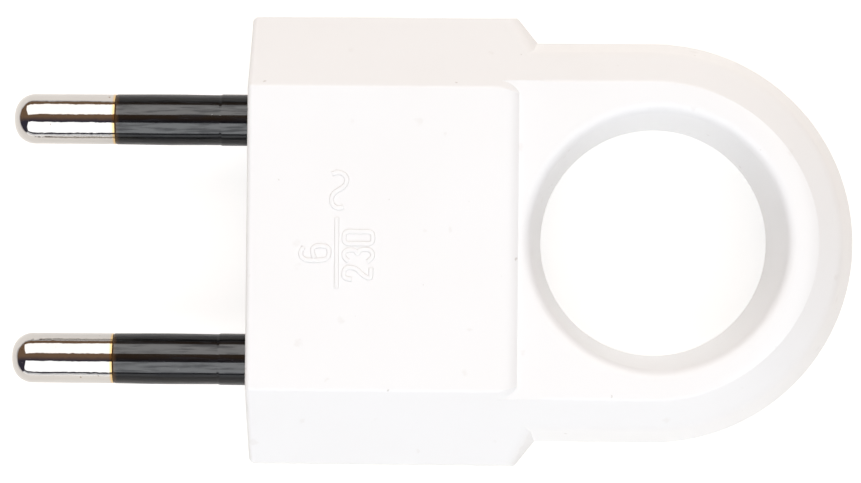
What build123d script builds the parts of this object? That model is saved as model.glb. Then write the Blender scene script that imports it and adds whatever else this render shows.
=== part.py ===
from build123d import *
from math import cos, hypot, radians, sin, tan
import os

# Two-pin plug with a finger ring, moulded in two half shells. All sizes are in millimetres.
# The origin lies midway between the pins, on the face that meets the socket and in the
# plane where the two shells part. The pins point along -X and the ring along +X, and the
# outer flat of the front shell faces +Z.

# Contact pins, from the tip to the screw terminal inside the body
pin_pitch = 19.0
pin_length = 19.0
pin_radius = 2.0
pin_tip_flat = 0.35
bare_length = 8.1
flange_rise = 1.1
flange_length = 1.4
neck_radius = 2.2
neck_length = 1.6
barrel_radius = 2.9
barrel_length = 6.0
barrel_flat_cut = 0.5
barrel_chamfer = 0.3
wire_hole_radius = 1.3
wire_hole_drop = 0.6

# Insulating sleeves on the pins
sleeve_thickness = 0.5
tail_cut = 0.2
recess_gap = 0.1
recess_depth = 0.2

# Terminal screws
terminal_screw_radius = 1.5
terminal_head_radius = 2.2
terminal_head_height = 1.6
slot_width = 0.7
slot_depth = 0.8

# Walls and clearances of the shells
wall = 1.8
front_wall = 2.2
rear_wall = 1.9
cover_gap = 1.2
terminal_gap = 1.0
fit_gap = 0.05
thread_gap = 0.02
overrun = 1.0
touch = 0.001

# Finger ring
hole_radius = 8.9
hole_draft = 11.0
hole_lean = 0.45
rim_round = 0.95
ring_width = 6.88
ring_draft = 13.7
ring_shoulder_level = 4.13
ring_shoulder_round = 2.0
ring_edge_round = 0.4
far_round = 3.4
far_lead = 1.25
ring_pocket_depth = 3.2
ring_pocket_span = 42.0
ring_web_pitch = 60.0
peg_radius = 1.0
peg_length = 2.5

# Outside of the body
bevel_angle = 45.0
side_height = 1.3
side_flare = 0.15
pad_step = 0.55
pad_margin = 0.07
pad_corner_radius = 2.0
pad_slope_run = 1.4
pad_trim = 0.3
edge_round = 0.4
seam_relief = 0.12
corner_offset = 0.25
corner_turn = 39.0
corner_lean = 12.0
corner_round = 1.4

# Housing screws with square nuts
screw_radius = 1.5
screw_length = 8.0
screw_hole_gap = 0.1
screw_tip_room = 0.4
screw_head_radius = 2.7
screw_head_height = 1.8
screw_well_gap = 0.2
screw_well_depth = 3.4
screw_well_wall = 0.9
nut_width = 5.5
nut_thickness = 1.8
nut_block_wall = 1.0
front_block_sink = 0.5

# Ribs that seat the pins
rib_margin = 0.4
cradle_width = 1.2
cradle_setback = 0.5

# Cord inlet in the back shell, and the clamp behind it
inlet_width = 5.8
inlet_height = 4.3
inlet_drop = 0.25
inlet_corner = 1.0
inlet_round = 0.25
channel_gap = 0.1
clamp_side_gap = 0.4
clamp_width = 4.6
clamp_thickness = 1.4
clamp_tongue = 0.85
clamp_hole_gap = 0.1
grip_height = 0.5
grip_width = 0.6
grip_pitch = 2.6
clamp_screw_radius = 1.1
clamp_screw_length = 5.0
clamp_head_radius = 2.0
clamp_head_height = 1.3
clamp_boss_radius = 1.9

# Pins and terminals, worked out from the sizes above
poles = {"upper": pin_pitch / 2, "lower": -pin_pitch / 2}
core_radius = pin_radius - sleeve_thickness
tail_radius = pin_radius - tail_cut
flange_radius = pin_radius + flange_rise
flange_start = front_wall + fit_gap
neck_start = flange_start + flange_length
barrel_start = neck_start + neck_length
barrel_end = barrel_start + barrel_length
barrel_flat_level = barrel_radius - barrel_flat_cut
terminal_place = (barrel_start + barrel_end) / 2
sleeve_start = bare_length - pin_length
cradle_end = barrel_end - cradle_setback
cradle_span = (cradle_end - cradle_width, cradle_end)

# Screws along the body, and the room behind them for the cord
nut_block_width = nut_width + 2 * nut_block_wall
screw_well_radius = screw_head_radius + screw_well_gap
well_boss_radius = screw_well_radius + screw_well_wall
front_screw_place = front_wall - front_block_sink + nut_block_width / 2
front_boss_end = front_screw_place + max(nut_block_width / 2, well_boss_radius)
clamp_screw_place = front_boss_end + clamp_head_radius + fit_gap
channel_start = clamp_screw_place + clamp_boss_radius + channel_gap
inlet_place = channel_start + inlet_width / 2
room_end = max(barrel_end + terminal_gap + nut_block_width, channel_start + inlet_width + channel_gap)
clamp_place = clamp_width / 2 + clamp_side_gap + barrel_radius - pin_pitch / 2

# Heights of half the body, and the outline of the ring and the bevelled body
half_thickness = barrel_flat_level + terminal_head_height + cover_gap + wall
room_level = half_thickness - wall
well_floor = screw_well_depth - half_thickness
inlet_level = -side_height - inlet_drop - inlet_height / 2
bevel_run = tan(radians(bevel_angle))
draft_run = tan(radians(ring_draft))
ring_level = half_thickness - pad_step
ring_radius = hole_radius + ring_width
ring_shoulder_radius = ring_radius - ring_shoulder_level * draft_run
ring_flat_edge = ring_shoulder_radius - (ring_level - ring_shoulder_level) * bevel_run
flat_half_width = ring_flat_edge - pad_step * bevel_run
foot_half_width = flat_half_width + (half_thickness - side_height) * bevel_run
side_half_width = foot_half_width + side_flare
rear_screw_offset = flat_half_width - edge_round - screw_well_radius
screw_spots = {
    "front": (front_screw_place, 0),
    "rear": (room_end - nut_block_width / 2, rear_screw_offset),
}

# Places along the handle
rim_radius = hole_radius + ring_level * tan(radians(hole_draft))
rim_lead = rim_round * tan(radians(90 - hole_draft) / 2)
ring_reach = room_end + rear_wall + rim_radius
pad_reach = ring_reach + hole_lean - rim_radius - rim_lead - pad_margin
corner_start = pad_reach - pad_step * bevel_run + corner_offset
corner_toe = corner_start + (side_half_width - ring_flat_edge) * tan(radians(corner_turn))
peg_circle = (hole_radius + ring_radius) / 2


def block(x_range, y_range, z_range):
    """Box between two values along each axis."""
    ranges = (x_range, y_range, z_range)
    centre = [(low + high) / 2 for low, high in ranges]
    size = [high - low for low, high in ranges]
    return Pos(*centre) * Box(*size)


def span(centre, width):
    """Two values that lie half a width to each side of a centre."""
    return (centre - width / 2, centre + width / 2)


def rod(start, direction, radius, length):
    """Round bar from a start point along a direction."""
    return extrude(Plane(origin=start, z_dir=direction) * Circle(radius), length)


def upright_rod(spot, z_range, radius):
    """Round bar along Z at an (x, y) spot, between two heights."""
    return rod((*spot, z_range[0]), (0, 0, 1), radius, z_range[1] - z_range[0])


def rounded(face, corner, radius):
    """Flat profile with its nearest corner rounded."""
    return fillet(face.vertices().sort_by_distance(corner)[0], radius)


def symmetric_profile(right):
    """Closed profile from the points of its right side and their mirror images."""
    left = [(-across, height) for across, height in reversed(right)]
    return make_face(Polyline(*right, *left, close=True))


# Outside form, made for one half and shared by both shells


def half_block():
    """Bevelled body block, with rear corners cut by planes that lean inwards."""
    profile = symmetric_profile([
        (ring_flat_edge, ring_level),
        (foot_half_width, side_height),
        (side_half_width, seam_relief),
        (side_half_width - seam_relief, 0),
    ])
    body = extrude(Plane.YZ * profile, corner_toe)
    turn = radians(corner_turn)
    lean = radians(corner_lean)
    for side in (1, -1):
        corner = Plane(
            origin=(corner_start, side * side_half_width, 0),
            z_dir=(cos(turn) * cos(lean), side * sin(turn) * cos(lean), sin(lean)),
        )
        body -= extrude(corner * Rectangle(4 * ring_radius, 4 * ring_radius), 2 * ring_radius)
        on_cut = body.edges().filter_by(lambda edge: abs(corner.to_local_coords(edge.center()).Z) < touch)
        slanted = on_cut.filter_by_position(Axis.Z, side_height, ring_level, (False, False))
        body = fillet(slanted, corner_round)
    return body


def half_pad():
    """Raised flat of the body, sloped at its sides like the bevels, with a long soft slope behind."""
    lead = 2 * pad_step * bevel_run
    blank = pad_reach + pad_trim
    outline = Pos((blank - lead) / 2, 0) * Rectangle(blank + lead, 2 * ring_flat_edge)
    outline = fillet(outline.vertices().group_by(Axis.X)[-1], pad_corner_radius)
    pad = extrude(Pos(0, 0, ring_level) * outline, pad_step, taper=bevel_angle)
    pad = split(pad, Plane.YZ, keep=Keep.TOP)
    rim = pad.faces().sort_by(Axis.Z)[-1].edges()
    pad = fillet(rim.filter_by(lambda edge: edge.center().X > edge_round), edge_round)
    start = (pad_reach - pad_slope_run, half_thickness)
    foot = (pad_reach, ring_level)
    top = half_thickness + overrun
    slope = TangentArc(start, foot, tangent=(1, 0))
    rest = Polyline(foot, (foot[0] + overrun, foot[1]), (foot[0] + overrun, top), (start[0], top), start)
    return pad - extrude(Plane.XZ * make_face([slope, rest]), 2 * ring_radius, both=True)


def ring_section():
    """Section of one half of the ring, from the middle outwards."""
    section = make_face(Polyline(
        (0, 0),
        (0, ring_level),
        (ring_flat_edge, ring_level),
        (ring_shoulder_radius, ring_shoulder_level),
        (ring_radius, seam_relief),
        (ring_radius - seam_relief, 0),
        close=True,
    ))
    section = rounded(section, (ring_shoulder_radius, ring_shoulder_level), ring_shoulder_round)
    return rounded(section, (ring_flat_edge, ring_level), ring_edge_round)


def far_softening():
    """What is cut from the ring's upper edge at its far end: it runs out to nothing at the sides."""
    turn = radians(bevel_angle)
    start = (ring_flat_edge, ring_level)
    end = (start[0] + far_round * sin(turn), start[1] - far_round * (1 - cos(turn)))
    top = ring_level + overrun
    soft = TangentArc(start, end, tangent=(1, 0))
    rest = Polyline(end, (end[0], top), (start[0], top), start)
    cutter = revolve(Plane.XZ * make_face([soft, rest]), Axis.Z, 180)
    return Pos(-far_lead, 0, 0) * Rot(0, 0, -90) * cutter


def half_ring():
    """Loop handle: a turned disc with two arms of the same section, still without its hole."""
    section = ring_section()
    disc = revolve(Plane.XZ * section, Axis.Z, 360) - far_softening()
    arm = extrude(Plane.YZ * section, front_wall - ring_reach)
    return Pos(ring_reach, 0, 0) * (disc + arm + mirror(arm, about=Plane.XZ))


def finger_hole():
    """Drafted hole of one half, whose mouth lies a little further back than its throat."""
    rise = (ring_level + overrun) / ring_level
    throat = Circle(hole_radius)
    mouth = Pos(rise * hole_lean, 0, ring_level + overrun) * Circle(hole_radius + rise * (rim_radius - hole_radius))
    relief = Cone(hole_radius + 2 * seam_relief, hole_radius, 2 * seam_relief)
    return Pos(ring_reach, 0, 0) * (loft([throat, mouth]) + relief)


def at_rim(edge):
    """Whether an edge lies along the upper rim of the finger hole."""
    spot = edge.center() - Vector(ring_reach + hole_lean, 0, ring_level)
    return abs(spot.Z) < touch and abs(hypot(spot.X, spot.Y) - rim_radius) < touch


def half_outside():
    """Whole outer form of one half, without its hollows."""
    outside = half_block() + half_ring() - finger_hole()
    outside = fillet(outside.edges().filter_by(at_rim), rim_round) + half_pad()
    front_edges = outside.faces().sort_by(Axis.X)[0].edges()
    return fillet(front_edges.filter_by(lambda edge: edge.center().Z > seam_relief), edge_round)


# Hollows and inner features that both shells share


def half_room():
    """Hollow of the body, one wall inside the bevelled outline."""
    slant = wall * hypot(1, bevel_run)
    side = foot_half_width - wall
    bend = half_thickness - (side - flat_half_width + slant) / bevel_run
    top = flat_half_width + wall * bevel_run - slant
    profile = symmetric_profile([(top, room_level), (side, bend), (side, 0)])
    return extrude(Plane.YZ.offset(front_wall) * profile, room_end - front_wall)


def half_ribs():
    """Ribs that catch the pins behind their flanges."""
    along = (neck_start + fit_gap, barrel_start - fit_gap)
    across = 2 * (flange_radius + rib_margin)
    return [block(along, span(y, across), (0, half_thickness)) for y in poles.values()]


def pin_seats():
    """Round channels for the sleeves' tails and the pins' necks, and a recess round each sleeve."""
    seats = []
    for y in poles.values():
        mouth = (-overrun, y, 0)
        seats.append(rod(mouth, (1, 0, 0), pin_radius + recess_gap, overrun + recess_depth))
        seats.append(rod(mouth, (1, 0, 0), tail_radius + fit_gap, overrun + flange_start))
        seats.append(rod((neck_start, y, 0), (1, 0, 0), neck_radius + fit_gap, neck_length))
    return seats


def half_ring_pockets():
    """Curved hollows in the ring, with solid webs between them for the pegs."""
    shrink = ring_pocket_depth * draft_run
    inner = hole_radius + wall
    outer = ring_radius - wall
    section = make_face(Polyline(
        (inner, 0),
        (outer, 0),
        (outer - shrink, ring_pocket_depth),
        (inner + shrink, ring_pocket_depth),
        close=True,
    ))
    pocket = revolve(Plane.XZ * section, Axis.Z, ring_pocket_span)
    starts = [(step + 0.5) * ring_web_pitch - ring_pocket_span / 2 for step in (-2, -1, 0, 1)]
    return [Pos(ring_reach, 0, 0) * Rot(0, 0, start) * pocket for start in starts]


def peg_spots():
    """Centres of the locating pegs, one in each web of the ring."""
    turns = [radians(step * ring_web_pitch) for step in (-1, 0, 1)]
    return [(ring_reach + peg_circle * cos(turn), peg_circle * sin(turn)) for turn in turns]


# The pieces


def front_shell(outside):
    """Marked half, with blocks that hold the nuts and pegs that locate the other half."""
    inner = Part() + half_ribs()
    for x, y in screw_spots.values():
        inner += block(span(x, nut_block_width), span(y, nut_block_width), (0, half_thickness))
    shell = outside - (half_room() - inner)
    shell -= pin_seats() + half_ring_pockets()
    pocket_width = nut_width + 2 * fit_gap
    screw_tip = well_floor + screw_length
    for x, y in screw_spots.values():
        shell -= block(span(x, pocket_width), span(y, pocket_width), (-overrun, nut_thickness + fit_gap))
        shell -= upright_rod((x, y), (-overrun, screw_tip + screw_tip_room), screw_radius + screw_hole_gap)
    for spot in peg_spots():
        shell += upright_rod(spot, (-peg_length, fit_gap), peg_radius)
    return shell


def inlet_tunnel():
    """Rounded slot through the lower bevel of the back shell, for a flat two-core cord."""
    start = -side_half_width - overrun
    outline = RectangleRounded(inlet_width, inlet_height, inlet_corner)
    mouth = Plane(origin=(inlet_place, start, inlet_level), x_dir=(1, 0, 0), z_dir=(0, 1, 0))
    return extrude(mouth * outline, wall - flat_half_width - start)


def back_room_features():
    """What stands in the back shell's hollow: ribs, cradles, bosses and ridges under the cord."""
    features = [mirror(rib, about=Plane.XY) for rib in half_ribs()]
    for y in poles.values():
        features.append(block(cradle_span, span(y, 2 * (barrel_radius + rib_margin)), (-half_thickness, 0)))
    for spot in screw_spots.values():
        features.append(upright_rod(spot, (-half_thickness, 0), well_boss_radius))
    clamp_spot = (clamp_screw_place, clamp_place)
    features.append(upright_rod(clamp_spot, (-half_thickness, -clamp_thickness), clamp_boss_radius))
    for side in (-1, 1):
        across = span(clamp_place + side * grip_pitch / 2, grip_width)
        ridge = (-half_thickness, grip_height - room_level)
        features.append(block((clamp_screw_place, room_end), across, ridge))
    return Part() + features


def back_shell(outside):
    """Half with the screw wells, the cord inlet and the seat of the cord clamp."""
    room = mirror(half_room(), about=Plane.XY) - back_room_features()
    shell = mirror(outside, about=Plane.XY) - room - inlet_tunnel()
    bevel = Plane(origin=(0, -foot_half_width, -side_height), z_dir=(0, -1, -bevel_run))
    mouth = shell.edges().filter_by(lambda edge: abs(bevel.to_local_coords(edge.center()).Z) < touch)
    near, far = span(inlet_place, inlet_width + fit_gap)
    shell = fillet(mouth.filter_by_position(Axis.X, near, far), inlet_round)
    shell -= pin_seats()
    shell -= [mirror(pocket, about=Plane.XY) for pocket in half_ring_pockets()]
    for y in poles.values():
        shell -= rod((cradle_span[0], y, 0), (1, 0, 0), barrel_radius + fit_gap, cradle_width)
    for spot in screw_spots.values():
        shell -= upright_rod(spot, (-half_thickness - overrun, well_floor), screw_well_radius)
        shell -= upright_rod(spot, (-half_thickness, overrun), screw_radius + screw_hole_gap)
    pilot = (-clamp_screw_length - fit_gap, 0)
    shell -= upright_rod((clamp_screw_place, clamp_place), pilot, clamp_screw_radius + thread_gap)
    notch_reach = (room_end - overrun, room_end + clamp_tongue + fit_gap)
    notch_depth = (-clamp_thickness - fit_gap, overrun)
    shell -= block(notch_reach, span(clamp_place, clamp_width + 2 * fit_gap), notch_depth)
    for spot in peg_spots():
        shell -= upright_rod(spot, (-peg_length - fit_gap, overrun), peg_radius + fit_gap)
    return shell


def contact_pin():
    """Plated pin along X: domed tip, slim core under the sleeve, flange, neck and terminal."""
    tip = (-pin_length, pin_radius)
    profile = make_face(Polyline(
        (-pin_length, 0),
        tip,
        (sleeve_start, pin_radius),
        (sleeve_start, core_radius),
        (flange_start, core_radius),
        (flange_start, flange_radius),
        (neck_start, flange_radius),
        (neck_start, neck_radius),
        (barrel_start, neck_radius),
        (barrel_start, barrel_radius),
        (barrel_end - barrel_chamfer, barrel_radius),
        (barrel_end, barrel_radius - barrel_chamfer),
        (barrel_end, 0),
        close=True,
    ))
    pin = revolve(rounded(profile, tip, pin_radius - pin_tip_flat), Axis.X, 360)
    along = (barrel_start, barrel_end)
    pin -= block(along, (-barrel_radius, barrel_radius), (barrel_flat_level, barrel_radius))
    wire_hole = (terminal_place, -barrel_radius, -wire_hole_drop)
    pin -= rod(wire_hole, (0, 1, 0), wire_hole_radius, 2 * barrel_radius)
    thread = (-wire_hole_drop, barrel_radius)
    pin -= upright_rod((terminal_place, 0), thread, terminal_screw_radius + thread_gap)
    return pin


def pin_sleeve():
    """Insulating sleeve along X, as thick as the bare pin, with a slimmer tail inside the wall."""
    return revolve(make_face(Polyline(
        (sleeve_start, core_radius),
        (sleeve_start, pin_radius),
        (0, pin_radius),
        (0, tail_radius),
        (flange_start, tail_radius),
        (flange_start, core_radius),
        close=True,
    )), Axis.X, 360)


def slotted_screw(radius, length, head_radius, head_height):
    """Screw along Z: its shank points down from the origin and its head stands above it."""
    head = upright_rod((0, 0), (0, head_height), head_radius)
    head = fillet(head.edges().group_by(Axis.Z)[-1], head_height / 3)
    head -= block(span(0, 2 * head_radius), span(0, slot_width), (head_height - slot_depth, head_height))
    return head + upright_rod((0, 0), (-length, 0), radius)


def terminal_screw():
    """Screw that stands on the flat of a terminal and reaches into its wire hole."""
    reach = barrel_flat_level + wire_hole_drop - wire_hole_radius / 2
    return slotted_screw(terminal_screw_radius, reach, terminal_head_radius, terminal_head_height)


def housing_screw():
    """Screw that points up from its well, through the back shell and into the nut."""
    return Rot(180, 0, 0) * slotted_screw(screw_radius, screw_length, screw_head_radius, screw_head_height)


def housing_nut():
    """Square nut with a plain hole at its thread's outer size."""
    nut = block(span(0, nut_width), span(0, nut_width), (0, nut_thickness))
    return nut - upright_rod((0, 0), (0, nut_thickness), screw_radius + thread_gap)


def cord_clamp():
    """Bar across the cord: a screw holds one end, and the shells trap its tongue."""
    along = (clamp_screw_place - clamp_boss_radius, room_end + clamp_tongue)
    bar = block(along, span(clamp_place, clamp_width), (-clamp_thickness, 0))
    bar = fillet(bar.edges().filter_by(Axis.Z).group_by(Axis.X)[0], clamp_width / 4)
    ridge_level = -clamp_thickness - grip_height
    bar += block((channel_start, room_end - channel_gap), span(clamp_place, grip_width), (ridge_level, 0))
    hole_radius = clamp_screw_radius + clamp_hole_gap
    return bar - upright_rod((clamp_screw_place, clamp_place), (-clamp_thickness, 0), hole_radius)


def cord_clamp_screw():
    """Self-tapping screw of the clamp."""
    screw = slotted_screw(clamp_screw_radius, clamp_screw_length, clamp_head_radius, clamp_head_height)
    return Pos(clamp_screw_place, clamp_place, 0) * screw


outside = half_outside()
pieces = {
    "front_shell": front_shell(outside),
    "back_shell": back_shell(outside),
    "cord_clamp": cord_clamp(),
    "cord_clamp_screw": cord_clamp_screw(),
}
for pole, y in poles.items():
    pieces["contact_pin_" + pole] = Pos(0, y, 0) * contact_pin()
    pieces["pin_sleeve_" + pole] = Pos(0, y, 0) * pin_sleeve()
    pieces["terminal_screw_" + pole] = Pos(terminal_place, y, barrel_flat_level) * terminal_screw()
for name, (x, y) in screw_spots.items():
    pieces["housing_screw_" + name] = Pos(x, y, well_floor) * housing_screw()
    pieces["housing_nut_" + name] = Pos(x, y, 0) * housing_nut()

os.makedirs("parts", exist_ok=True)
for name, piece in pieces.items():
    export_step(piece, "parts/" + name + ".step")
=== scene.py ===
from math import cos, pi, radians, sin, tan

import bmesh
import bpy
from mathutils import Matrix, Vector


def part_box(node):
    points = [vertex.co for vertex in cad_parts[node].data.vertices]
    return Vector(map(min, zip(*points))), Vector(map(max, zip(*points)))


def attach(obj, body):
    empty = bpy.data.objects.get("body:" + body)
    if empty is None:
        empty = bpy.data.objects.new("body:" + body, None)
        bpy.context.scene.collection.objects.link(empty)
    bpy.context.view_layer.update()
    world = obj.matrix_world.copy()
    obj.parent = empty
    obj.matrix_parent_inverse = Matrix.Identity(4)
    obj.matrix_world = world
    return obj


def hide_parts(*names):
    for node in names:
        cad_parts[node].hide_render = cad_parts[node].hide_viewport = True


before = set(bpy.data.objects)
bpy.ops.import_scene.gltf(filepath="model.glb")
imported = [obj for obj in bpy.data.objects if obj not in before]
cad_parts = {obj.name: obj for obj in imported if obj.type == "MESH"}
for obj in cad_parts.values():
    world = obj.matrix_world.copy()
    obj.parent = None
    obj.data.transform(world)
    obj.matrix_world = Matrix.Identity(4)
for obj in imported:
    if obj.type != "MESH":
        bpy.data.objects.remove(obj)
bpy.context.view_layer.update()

# The two contact pins are turned from brass and plated with bright nickel. Each ends in
# a dome, carries a sleeve on its inner half and holds its core in a terminal inside.
# The shells catch each pin by its flange.

bare_brass = 0.00025
sleeve_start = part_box("pin_sleeve_upper")[0].x
plate_dull = (0.47, 0.45, 0.43)
plate_bright = (0.53, 0.51, 0.485)
pit_brown = (0.28, 0.22, 0.17)
brass_yellow = (0.6, 0.42, 0.2)


def add(tree, kind, inputs, **settings):
    """One node, each of whose named inputs gets a value or another node's output."""
    made = tree.nodes.new("ShaderNode" + kind)
    for name, value in settings.items():
        setattr(made, name, value)
    for name, value in inputs.items():
        if isinstance(value, bpy.types.NodeSocket):
            tree.links.new(value, made.inputs[name])
        else:
            made.inputs[name].default_value = value
    return made


def new_effect(name, inputs):
    """Node group with named number inputs, which puts out one mask."""
    tree = bpy.data.node_groups.new(name, "ShaderNodeTree")
    for label, value in inputs.items():
        socket = tree.interface.new_socket(label, in_out="INPUT", socket_type="NodeSocketFloat")
        socket.default_value = value
    tree.interface.new_socket("Mask", in_out="OUTPUT", socket_type="NodeSocketFloat")
    given = tree.nodes.new("NodeGroupInput").outputs
    mask = tree.nodes.new("NodeGroupOutput").inputs["Mask"]
    return tree, given, mask


def place_on_plug(tree):
    """Place on the plug, in metres from its origin."""
    return add(tree, "TexCoord", {}).outputs["Object"]


def make_grain():
    """Fine unevenness that can be drawn out along the pins, with its fineness per metre."""
    tree, given, mask = new_effect("grain", {"Across": 1000.0, "Along": 1000.0, "Detail": 3.0})
    stretch = add(tree, "CombineXYZ", {
        "X": given["Along"],
        "Y": given["Across"],
        "Z": given["Across"],
    }).outputs[0]
    place = place_on_plug(tree)
    drawn = add(tree, "VectorMath", {0: place, 1: stretch}, operation="MULTIPLY").outputs[0]
    noise = add(tree, "TexNoise", {"Vector": drawn, "Scale": 1.0, "Detail": given["Detail"]})
    tree.links.new(noise.outputs["Fac"], mask)
    return tree


def make_specks():
    """Small uneven spots, scattered at random, of which only some cells hold one."""
    edge_fineness = 4.0
    edge_wander = (0.3, 0.3, 0.3)
    solid_part = 0.5
    tree, given, mask = new_effect("specks", {"Per metre": 200.0, "Radius": 0.1, "Share": 0.3})
    scaled = add(tree, "VectorMath", {
        0: place_on_plug(tree),
        "Scale": given["Per metre"],
    }, operation="SCALE").outputs[0]
    wander = add(tree, "TexNoise", {"Vector": scaled, "Scale": edge_fineness, "Detail": 1.0})
    warped = add(tree, "VectorMath", {
        0: wander.outputs["Color"],
        1: edge_wander,
        2: scaled,
    }, operation="MULTIPLY_ADD").outputs[0]
    cells = add(tree, "TexVoronoi", {"Vector": warped, "Scale": 1.0})
    lot = add(tree, "SeparateColor", {"Color": cells.outputs["Color"]}).outputs
    radius = add(tree, "Math", {0: given["Radius"], 1: lot["Green"]}, operation="MULTIPLY")
    solid = add(tree, "Math", {0: radius.outputs[0], 1: solid_part}, operation="MULTIPLY")
    spot = add(tree, "MapRange", {
        "Value": cells.outputs["Distance"],
        "From Min": solid.outputs[0],
        "From Max": radius.outputs[0],
        "To Min": 1.0,
        "To Max": 0.0,
    })
    chosen = add(tree, "Math", {0: lot["Red"], 1: given["Share"]}, operation="LESS_THAN")
    kept = add(tree, "Math", {0: spot.outputs[0], 1: chosen.outputs[0]}, operation="MULTIPLY")
    tree.links.new(kept.outputs[0], mask)
    return tree


grain = make_grain()
specks = make_specks()


def effect(tree, group, **inputs):
    """A shared effect placed in a material, with that material's own values."""
    made = tree.nodes.new("ShaderNodeGroup")
    made.node_tree = group
    for name, value in inputs.items():
        made.inputs[name.replace("_", " ")].default_value = value
    return made.outputs["Mask"]


def blend(tree, mask, first, second):
    """Colour that runs from the first to the second with the mask."""
    mix = add(tree, "Mix", {0: mask}, data_type="RGBA")
    for index, colour in ((6, first), (7, second)):
        if isinstance(colour, bpy.types.NodeSocket):
            tree.links.new(colour, mix.inputs[index])
        else:
            mix.inputs[index].default_value = (*colour, 1.0)
    return mix.outputs[2]


def spread(tree, mask, low, high):
    """Value that runs from low to high with the mask."""
    return add(tree, "MapRange", {"Value": mask, "To Min": low, "To Max": high}).outputs[0]


def ramp(tree, value, start, end):
    """Mask that runs from 0 to 1 while the value runs from start to end."""
    return add(tree, "MapRange", {"Value": value, "From Min": start, "From Max": end}).outputs[0]


def place_along(tree, axis):
    """Distance from the plug's origin along one axis, in metres."""
    return add(tree, "SeparateXYZ", {0: place_on_plug(tree)}).outputs[axis]


def bump(tree, *heights):
    """Normal of a surface that stands up by the given masks and heights, in metres."""
    normal = None
    for mask, height in heights:
        inputs = {"Height": mask, "Strength": 1.0, "Distance": height}
        if normal is not None:
            inputs["Normal"] = normal
        normal = add(tree, "Bump", inputs).outputs["Normal"]
    return normal


def new_finish(name, **values):
    """Material with one Principled shader, whose plain values are set on its own sockets."""
    material = bpy.data.materials.new(name)
    material.use_nodes = True
    tree = material.node_tree
    shader = tree.nodes["Principled BSDF"]
    for label, value in values.items():
        shader.inputs[label.replace("_", " ")].default_value = value
    return material, tree, shader


def feed(tree, shader, **outputs):
    """Links what changes over the surface to the shader."""
    for label, output in outputs.items():
        tree.links.new(output, shader.inputs[label.replace("_", " ")])


def dress(names, material):
    """Gives CAD pieces their material."""
    for name in names:
        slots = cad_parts[name].data.materials
        slots.clear()
        slots.append(material)


def make_nickel():
    """Bright plate with fine drawing marks and pits, and bare brass where the sleeve begins."""
    material, tree, shader = new_finish("bright_nickel", Metallic=1.0)
    drawn = effect(tree, grain, Across=2600.0, Along=500.0, Detail=4.0)
    cloud = effect(tree, grain, Across=260.0, Along=180.0, Detail=2.0)
    dents = effect(tree, grain, Across=700.0, Along=1100.0, Detail=2.0)
    pits = effect(tree, specks, Per_metre=1500.0, Radius=0.22, Share=0.25)
    pitted = blend(tree, pits, blend(tree, cloud, plate_dull, plate_bright), pit_brown)
    unplated = ramp(tree, place_along(tree, "X"),
                    sleeve_start - bare_brass, sleeve_start - bare_brass / 3)
    feed(tree, shader,
         Base_Color=blend(tree, unplated, pitted, brass_yellow),
         Roughness=spread(tree, drawn, 0.03, 0.11),
         Normal=bump(tree, (cloud, 20e-6), (dents, 30e-6), (drawn, 2.2e-6), (pits, -4e-6)))
    return material


dress(["contact_pin_upper", "contact_pin_lower"], make_nickel())

# The sleeves are moulded in black plastic round the inner half of each pin, so that no bare
# metal can be touched while the plug is pulled out. Moulding left fine streaks along them.
# Each swells a little and has a low collar at the body.

collar_length = 0.0024
collar_rise = 0.00005
collar_slope = 0.0002
lip_round = 0.00012
swell_rise = 0.00003
tail_step = 0.0002
core_step = 0.0005
sleeve_turns = 96
crease_angle = radians(10)

brown_edge = 0.0004
streak_limits = (0.46, 0.66)
streak_dark = (0.0005, 0.0005, 0.0008)
streak_pale = (0.006, 0.006, 0.008)
edge_brown = (0.07, 0.035, 0.012)
lint_grey = (0.20, 0.20, 0.20)
fade_limits = (0.14, 0.3)
faded_shine = 0.1


def sleeve_profile(low, high):
    """Half section of a sleeve, as places along X with a radius each."""
    radius = (high.z - low.z) / 2
    tail = radius - tail_step
    core = radius - core_step
    collar = radius + collar_rise
    swell = [(low.x + share * (-collar_length - low.x), radius + swell_rise * sin(pi * share) ** 2)
             for share in (0.2, 0.35, 0.5, 0.65, 0.8)]
    return [
        (low.x, core),
        (low.x, radius - lip_round),
        (low.x + lip_round / 3, radius - lip_round / 3),
        (low.x + lip_round, radius),
        *swell,
        (-collar_length - collar_slope, radius),
        (-collar_length, collar),
        (-lip_round, collar),
        (0.0, collar - lip_round),
        (0.0, tail),
        (high.x, tail),
        (high.x, core),
    ]


def make_sleeve(node, material):
    """Turned sleeve in the place of its CAD node."""
    low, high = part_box(node)
    axis_y = (low.y + high.y) / 2
    axis_z = (low.z + high.z) / 2
    turns = [2 * pi * step / sleeve_turns for step in range(sleeve_turns)]
    form = bmesh.new()
    rings = [[form.verts.new((x, axis_y + radius * cos(turn), axis_z + radius * sin(turn)))
              for turn in turns] for x, radius in sleeve_profile(low, high)]
    for ring, following in zip(rings, rings[1:] + rings[:1]):
        for step in range(sleeve_turns):
            after = (step + 1) % sleeve_turns
            form.faces.new((ring[step], ring[after], following[after], following[step]))
    bmesh.ops.recalc_face_normals(form, faces=form.faces)
    mesh = bpy.data.meshes.new("moulded_" + node)
    form.to_mesh(mesh)
    form.free()
    mesh.shade_smooth()
    mesh.set_sharp_from_angle(angle=crease_angle)
    mesh.materials.append(material)
    piece = bpy.data.objects.new("moulded_" + node, mesh)
    bpy.context.scene.collection.objects.link(piece)
    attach(piece, "root")
    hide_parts(node)


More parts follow.
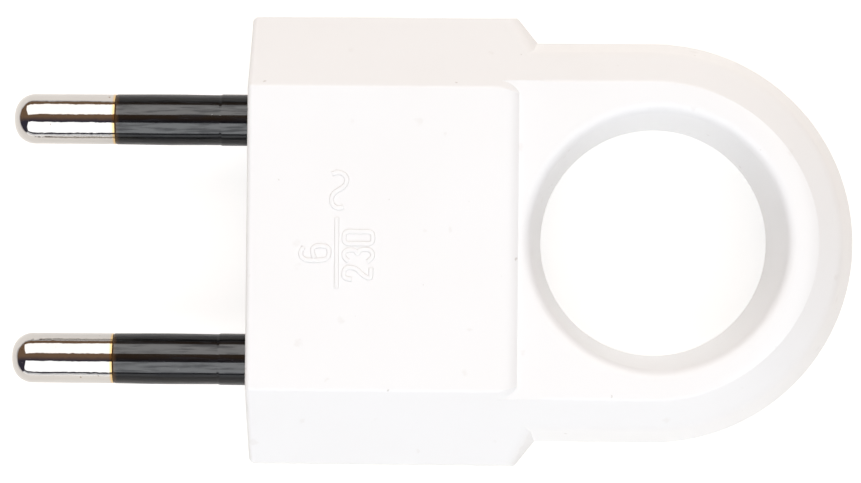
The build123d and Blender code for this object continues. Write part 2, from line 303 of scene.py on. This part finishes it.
def make_sleeve_black():
    """Black plastic, streaked along the pin and browned at the bare metal.

    Its shine fades on faces that turn away from the eye, which keeps their edges black.
    """
    material, tree, shader = new_finish(
        "sleeve_black", Specular_IOR_Level=0.12, Coat_IOR=1.7, Coat_Roughness=0.07)
    streaks = effect(tree, grain, Across=4200.0, Along=420.0, Detail=5.0)
    waves = effect(tree, grain, Across=520.0, Along=380.0, Detail=3.0)
    lint = effect(tree, specks, Per_metre=1600.0, Radius=0.1, Share=0.25)
    streaked = ramp(tree, streaks, *streak_limits)
    unbrowned = ramp(tree, place_along(tree, "X"), sleeve_start, sleeve_start + brown_edge)
    black = blend(tree, unbrowned, edge_brown, blend(tree, streaked, streak_dark, streak_pale))
    shine = add(tree, "MapRange", {
        "Value": add(tree, "LayerWeight", {"Blend": 0.5}).outputs["Facing"],
        "From Min": fade_limits[0],
        "From Max": fade_limits[1],
        "To Min": spread(tree, streaked, 1.0, 0.45),
        "To Max": faded_shine,
    }).outputs[0]
    feed(tree, shader,
         Base_Color=blend(tree, lint, black, lint_grey),
         Roughness=spread(tree, streaked, 0.2, 0.4),
         Coat_Weight=shine,
         Normal=bump(tree, (waves, 40e-6), (streaks, 18e-6)))
    return material


sleeve_black = make_sleeve_black()
for node in ("pin_sleeve_upper", "pin_sleeve_lower"):
    make_sleeve(node, sleeve_black)

# The body and its finger ring are two half shells, moulded in white plastic with a soft
# shine. They meet at a fine seam, and handling has left smudges and dust specks on them.
# The bar that clamps the cord inside is moulded in the same plastic.

seam_half_width = 0.00004
white_warm = (0.865, 0.862, 0.858)
white_cool = (0.885, 0.888, 0.892)
smudge_grey = (0.84, 0.833, 0.826)
dust_grey = (0.68, 0.66, 0.64)
seam_grey = (0.30, 0.28, 0.26)
white_roughness = (0.3, 0.44)
grain_height = 1.2e-6


def start_white(tree):
    """Fine grain, broad waves and the clean colour of the white plastic."""
    fine = effect(tree, grain, Across=2400.0, Along=2400.0, Detail=3.0)
    broad = effect(tree, grain, Across=110.0, Along=110.0, Detail=2.0)
    return fine, broad, blend(tree, broad, white_warm, white_cool)


def make_white_plastic():
    """White plastic with faint smudges and dust, and a fine dark seam where the shells meet."""
    material, tree, shader = new_finish("white_plastic")
    fine, broad, white = start_white(tree)
    smudges = effect(tree, specks, Per_metre=520.0, Radius=0.24, Share=0.5)
    dust = effect(tree, specks, Per_metre=800.0, Radius=0.12, Share=0.25)
    dusted = blend(tree, dust, blend(tree, smudges, white, smudge_grey), dust_grey)
    height = add(tree, "Math", {0: place_along(tree, "Z")}, operation="ABSOLUTE").outputs[0]
    beside = ramp(tree, height, seam_half_width / 2, seam_half_width)
    feed(tree, shader,
         Base_Color=blend(tree, beside, seam_grey, dusted),
         Roughness=spread(tree, fine, *white_roughness),
         Normal=bump(tree, (broad, 30e-6), (fine, grain_height)))
    return material


dress(["front_shell", "back_shell", "cord_clamp"], make_white_plastic())

# Low raised strokes stand on the flat of the front shell: a wave sign, a bar and plain
# numbers. They are moulded in one with the shell, in the same white plastic.

stroke_half_width = 0.00019
stroke_height = 0.00009
stroke_top_share = 0.82
# Painted shade: grey colour at the foot of the raised strokes.
foot_painted_shade = (0.70, 0.68, 0.67)

# The points of each sign run from 0 to 1 across it and up it.
mark_signs = {
    "wave": [(0.0, 0.97), (0.5, 1.05), (1.1, 0.88), (0.95, 0.6), (0.05, 0.42), (-0.08, 0.12),
             (0.4, -0.06), (0.8, 0.02)],
    "bar": [(0.0, 0.0), (0.0, 0.5), (0.0, 1.0)],
    "six": [(0.92, 0.95), (0.5, 1.1), (0.0, 0.95), (-0.06, 0.5), (0.02, 0.02), (0.5, -0.08),
            (1.05, 0.0), (1.05, 0.55), (0.5, 0.62), (0.12, 0.5)],
    "two": [(0.0, 0.75), (0.05, 1.05), (0.55, 1.08), (1.05, 0.98), (1.0, 0.6), (0.4, 0.35),
            (0.02, 0.02), (0.5, 0.0), (1.0, 0.0)],
    "three": [(0.02, 0.88), (0.25, 1.08), (0.95, 1.05), (1.0, 0.62), (0.6, 0.53), (1.05, 0.44),
              (1.05, 0.0), (0.3, -0.1), (-0.02, 0.15)],
    "nought": [(0.5, 1.08), (1.06, 1.02), (1.0, 0.5), (1.06, -0.02), (0.5, -0.08),
               (-0.06, -0.02), (0.0, 0.5), (-0.06, 1.02)],
}

# Each sign has its corner on the flat, and the way and length that its points run and rise.
mark_places = [
    ("wave", (0.0067, 0.0024), (0.0011, 0.0), (0.0, 0.0027)),
    ("bar", (0.0071, -0.0039), (0.0, 0.0), (0.0, 0.0055)),
    ("six", (0.0064, -0.0017), (0.0, 0.00105), (-0.0020, 0.0)),
    ("two", (0.0098, -0.0032), (0.0, 0.0009), (-0.0020, 0.0)),
    ("three", (0.0098, -0.0018), (0.0, 0.0009), (-0.0020, 0.0)),
    ("nought", (0.0098, -0.0004), (0.0, 0.0009), (-0.0020, 0.0)),
]


def make_mark_plastic(flat):
    """The shell's plastic, with painted shade that darkens the foot of the strokes."""
    material, tree, shader = new_finish("mark_plastic")
    fine, broad, white = start_white(tree)
    # Painted shade: grey at the foot of each stroke, fading to the plain white at its top.
    unshaded = ramp(tree, place_along(tree, "Z"), flat, flat + stroke_height)
    feed(tree, shader,
         Base_Color=blend(tree, unshaded, foot_painted_shade, white),
         Roughness=spread(tree, fine, *white_roughness),
         Normal=bump(tree, (fine, grain_height)))
    return material


def draw_strokes(flat):
    """Mesh of the signs' lines, round in section and half sunk in the flat."""
    lines = bpy.data.curves.new("raised_mark_lines", "CURVE")
    lines.dimensions = "3D"
    lines.bevel_depth = stroke_half_width
    lines.bevel_resolution = 6
    lines.use_fill_caps = True
    for sign, corner, across, up in mark_places:
        points = mark_signs[sign]
        spline = lines.splines.new("NURBS")
        spline.points.add(len(points) - 1)
        for point, (right, rise) in zip(spline.points, points):
            x = corner[0] + right * across[0] + rise * up[0]
            y = corner[1] + right * across[1] + rise * up[1]
            point.co = (x, y, flat, 1)
        spline.use_cyclic_u = sign == "nought"
        spline.use_endpoint_u = sign != "nought"
        spline.order_u = 3
        spline.resolution_u = 10
    drawing = bpy.data.objects.new("raised_mark_lines", lines)
    bpy.context.scene.collection.objects.link(drawing)
    bpy.context.view_layer.update()
    drawn = drawing.evaluated_get(bpy.context.evaluated_depsgraph_get())
    mesh = bpy.data.meshes.new_from_object(drawn)
    bpy.data.objects.remove(drawing)
    return mesh


def make_mark():
    """Raised strokes as one piece, flat on top with sloping sides."""
    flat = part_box("front_shell")[1].z
    mesh = draw_strokes(flat)
    for vertex in mesh.vertices:
        share = (vertex.co.z - flat) / (stroke_half_width * stroke_top_share)
        vertex.co.z = flat + stroke_height * min(share, 1.0)
    mesh.name = "raised_mark"
    mesh.shade_flat()
    mesh.materials.clear()
    mesh.materials.append(make_mark_plastic(flat))
    mark = bpy.data.objects.new("raised_mark", mesh)
    bpy.context.scene.collection.objects.link(mark)
    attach(mark, "root")


make_mark()

# Screws and nuts are plain steel with a bright zinc plate. They clamp the cores, the cord
# and the two shells.

zinc_dull = (0.50, 0.50, 0.52)
zinc_bright = (0.66, 0.66, 0.67)


def make_zinc():
    """Cloudy zinc plate."""
    material, tree, shader = new_finish("zinc_plate", Metallic=1.0)
    cloud = effect(tree, grain, Across=700.0, Along=700.0, Detail=3.0)
    feed(tree, shader,
         Base_Color=blend(tree, cloud, zinc_dull, zinc_bright),
         Roughness=spread(tree, cloud, 0.25, 0.42),
         Normal=bump(tree, (cloud, 4e-6)))
    return material


dress([
    "terminal_screw_upper", "terminal_screw_lower", "cord_clamp_screw",
    "housing_screw_front", "housing_screw_rear", "housing_nut_front", "housing_nut_rear",
], make_zinc())

# A white paper sheet lies under the plug, and its edge turns up far away all round. It
# fills the picture, and the sides of the pins mirror it.

sheet_rings = ((1.8, 0.0), (2.85, 0.0), (3.0, 0.24))
sheet_turns = 64
sheet_cream = (0.73, 0.68, 0.62, 1)
glow_colour = (0.90, 0.95, 1.0, 1)
glow_strength = 0.6


def make_sheet_white():
    """Cream paper that shows white to the camera and in reflections."""
    material, tree, shader = new_finish(
        "sheet_white", Base_Color=sheet_cream, Roughness=0.9, Specular_IOR_Level=0.0,
        Emission_Color=glow_colour)
    path = add(tree, "LightPath", {})
    seen = path.outputs["Is Camera Ray"]
    for kind in ("Is Glossy Ray", "Is Transmission Ray"):
        seen = add(tree, "Math", {0: seen, 1: path.outputs[kind]}, operation="MAXIMUM").outputs[0]
    glow = add(tree, "Math", {0: seen, 1: glow_strength}, operation="MULTIPLY")
    tree.links.new(glow.outputs[0], shader.inputs["Emission Strength"])
    return material


def make_sheet():
    """Round sheet at the level of the plug's back, as rings with a radius and a rise each."""
    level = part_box("back_shell")[0].z
    turns = [2 * pi * step / sheet_turns for step in range(sheet_turns)]
    form = bmesh.new()
    middle = form.verts.new((0, 0, level))
    rings = [[form.verts.new((radius * cos(turn), radius * sin(turn), level + rise))
              for turn in turns] for radius, rise in sheet_rings]
    for step in range(sheet_turns):
        after = (step + 1) % sheet_turns
        form.faces.new((middle, rings[0][step], rings[0][after]))
        for ring, following in zip(rings, rings[1:]):
            form.faces.new((ring[step], following[step], following[after], ring[after]))
    mesh = bpy.data.meshes.new("white_sheet")
    form.to_mesh(mesh)
    form.free()
    mesh.materials.append(make_sheet_white())
    sheet = bpy.data.objects.new("white_sheet", mesh)
    bpy.context.scene.collection.objects.link(sheet)


make_sheet()

# Two soft boxes stand along the plug's sides, with one narrow card low at the side of the
# lower pin and a weaker one behind the ring. The room beyond them is dim, and gives the
# pins their dark bands.

room_dark = (0.055, 0.05, 0.075)
room_warm = (0.27, 0.17, 0.105)
room_change = (-0.2, 0.12)
lamp_target = Vector((0.014, 0, 0))
lamp_distance = 0.5
lamp_colour = (0.95, 0.98, 1.0)


def make_room():
    """Dim room above the sheet, warm on one side and darker on the other."""
    world = bpy.data.worlds.new("room")
    bpy.context.scene.world = world
    world.use_nodes = True
    tree = world.node_tree
    towards = add(tree, "TexCoord", {}).outputs["Generated"]
    side = ramp(tree, add(tree, "SeparateXYZ", {0: towards}).outputs["Y"], *room_change)
    colour = blend(tree, side, room_dark, room_warm)
    tree.links.new(colour, tree.nodes["Background"].inputs["Color"])


def soft_box(name, turn, lean, half_angle, length, radiance):
    """Large lamp that faces the plug, from a turn round it and a lean from the vertical."""
    lamp = bpy.data.lights.new(name, "AREA")
    lamp.shape = "RECTANGLE"
    lamp.size = length
    lamp.size_y = 2 * lamp_distance * tan(radians(half_angle))
    lamp.energy = radiance * pi * lamp.size * lamp.size_y
    lamp.color = lamp_colour
    holder = bpy.data.objects.new(name, lamp)
    bpy.context.scene.collection.objects.link(holder)
    facing = Matrix.Rotation(radians(turn), 4, "Z") @ Matrix.Rotation(radians(lean), 4, "X")
    away = Matrix.Translation((0, 0, lamp_distance))
    holder.matrix_world = Matrix.Translation(lamp_target) @ facing @ away


make_room()
soft_box("soft_box_upper", turn=180, lean=45, half_angle=24.5, length=0.8, radiance=2.06)
soft_box("soft_box_lower", turn=0, lean=42, half_angle=25.5, length=0.8, radiance=2.24)
soft_box("card_lower", turn=0, lean=83, half_angle=7, length=0.8, radiance=1.1)
soft_box("card_rear", turn=90, lean=35, half_angle=12, length=0.6, radiance=0.55)

# The camera looks almost straight down on the plug through a long lens, and the pins are
# on the left of its picture.

camera_place = Vector((0.02811, -0.01095, 0.400))
camera_turn = (radians(1.566), radians(1.994), radians(0.462))
picture_width = 861
focal_pixels = 5047.1


def make_camera():
    """Camera whose focal length is given in pixels of its picture."""
    lens = bpy.data.cameras.new("camera")
    lens.sensor_width = 36.0
    lens.lens = focal_pixels * lens.sensor_width / picture_width
    lens.clip_start = 0.01
    lens.clip_end = 20.0
    camera = bpy.data.objects.new("camera", lens)
    bpy.context.scene.collection.objects.link(camera)
    tilt, roll, turn = camera_turn
    facing = (Matrix.Rotation(tilt, 4, "X") @ Matrix.Rotation(roll, 4, "Y")
              @ Matrix.Rotation(turn, 4, "Z"))
    camera.matrix_world = Matrix.Translation(camera_place) @ facing
    bpy.context.scene.camera = camera


make_camera()
bpy.context.scene.view_settings.view_transform = "Standard"
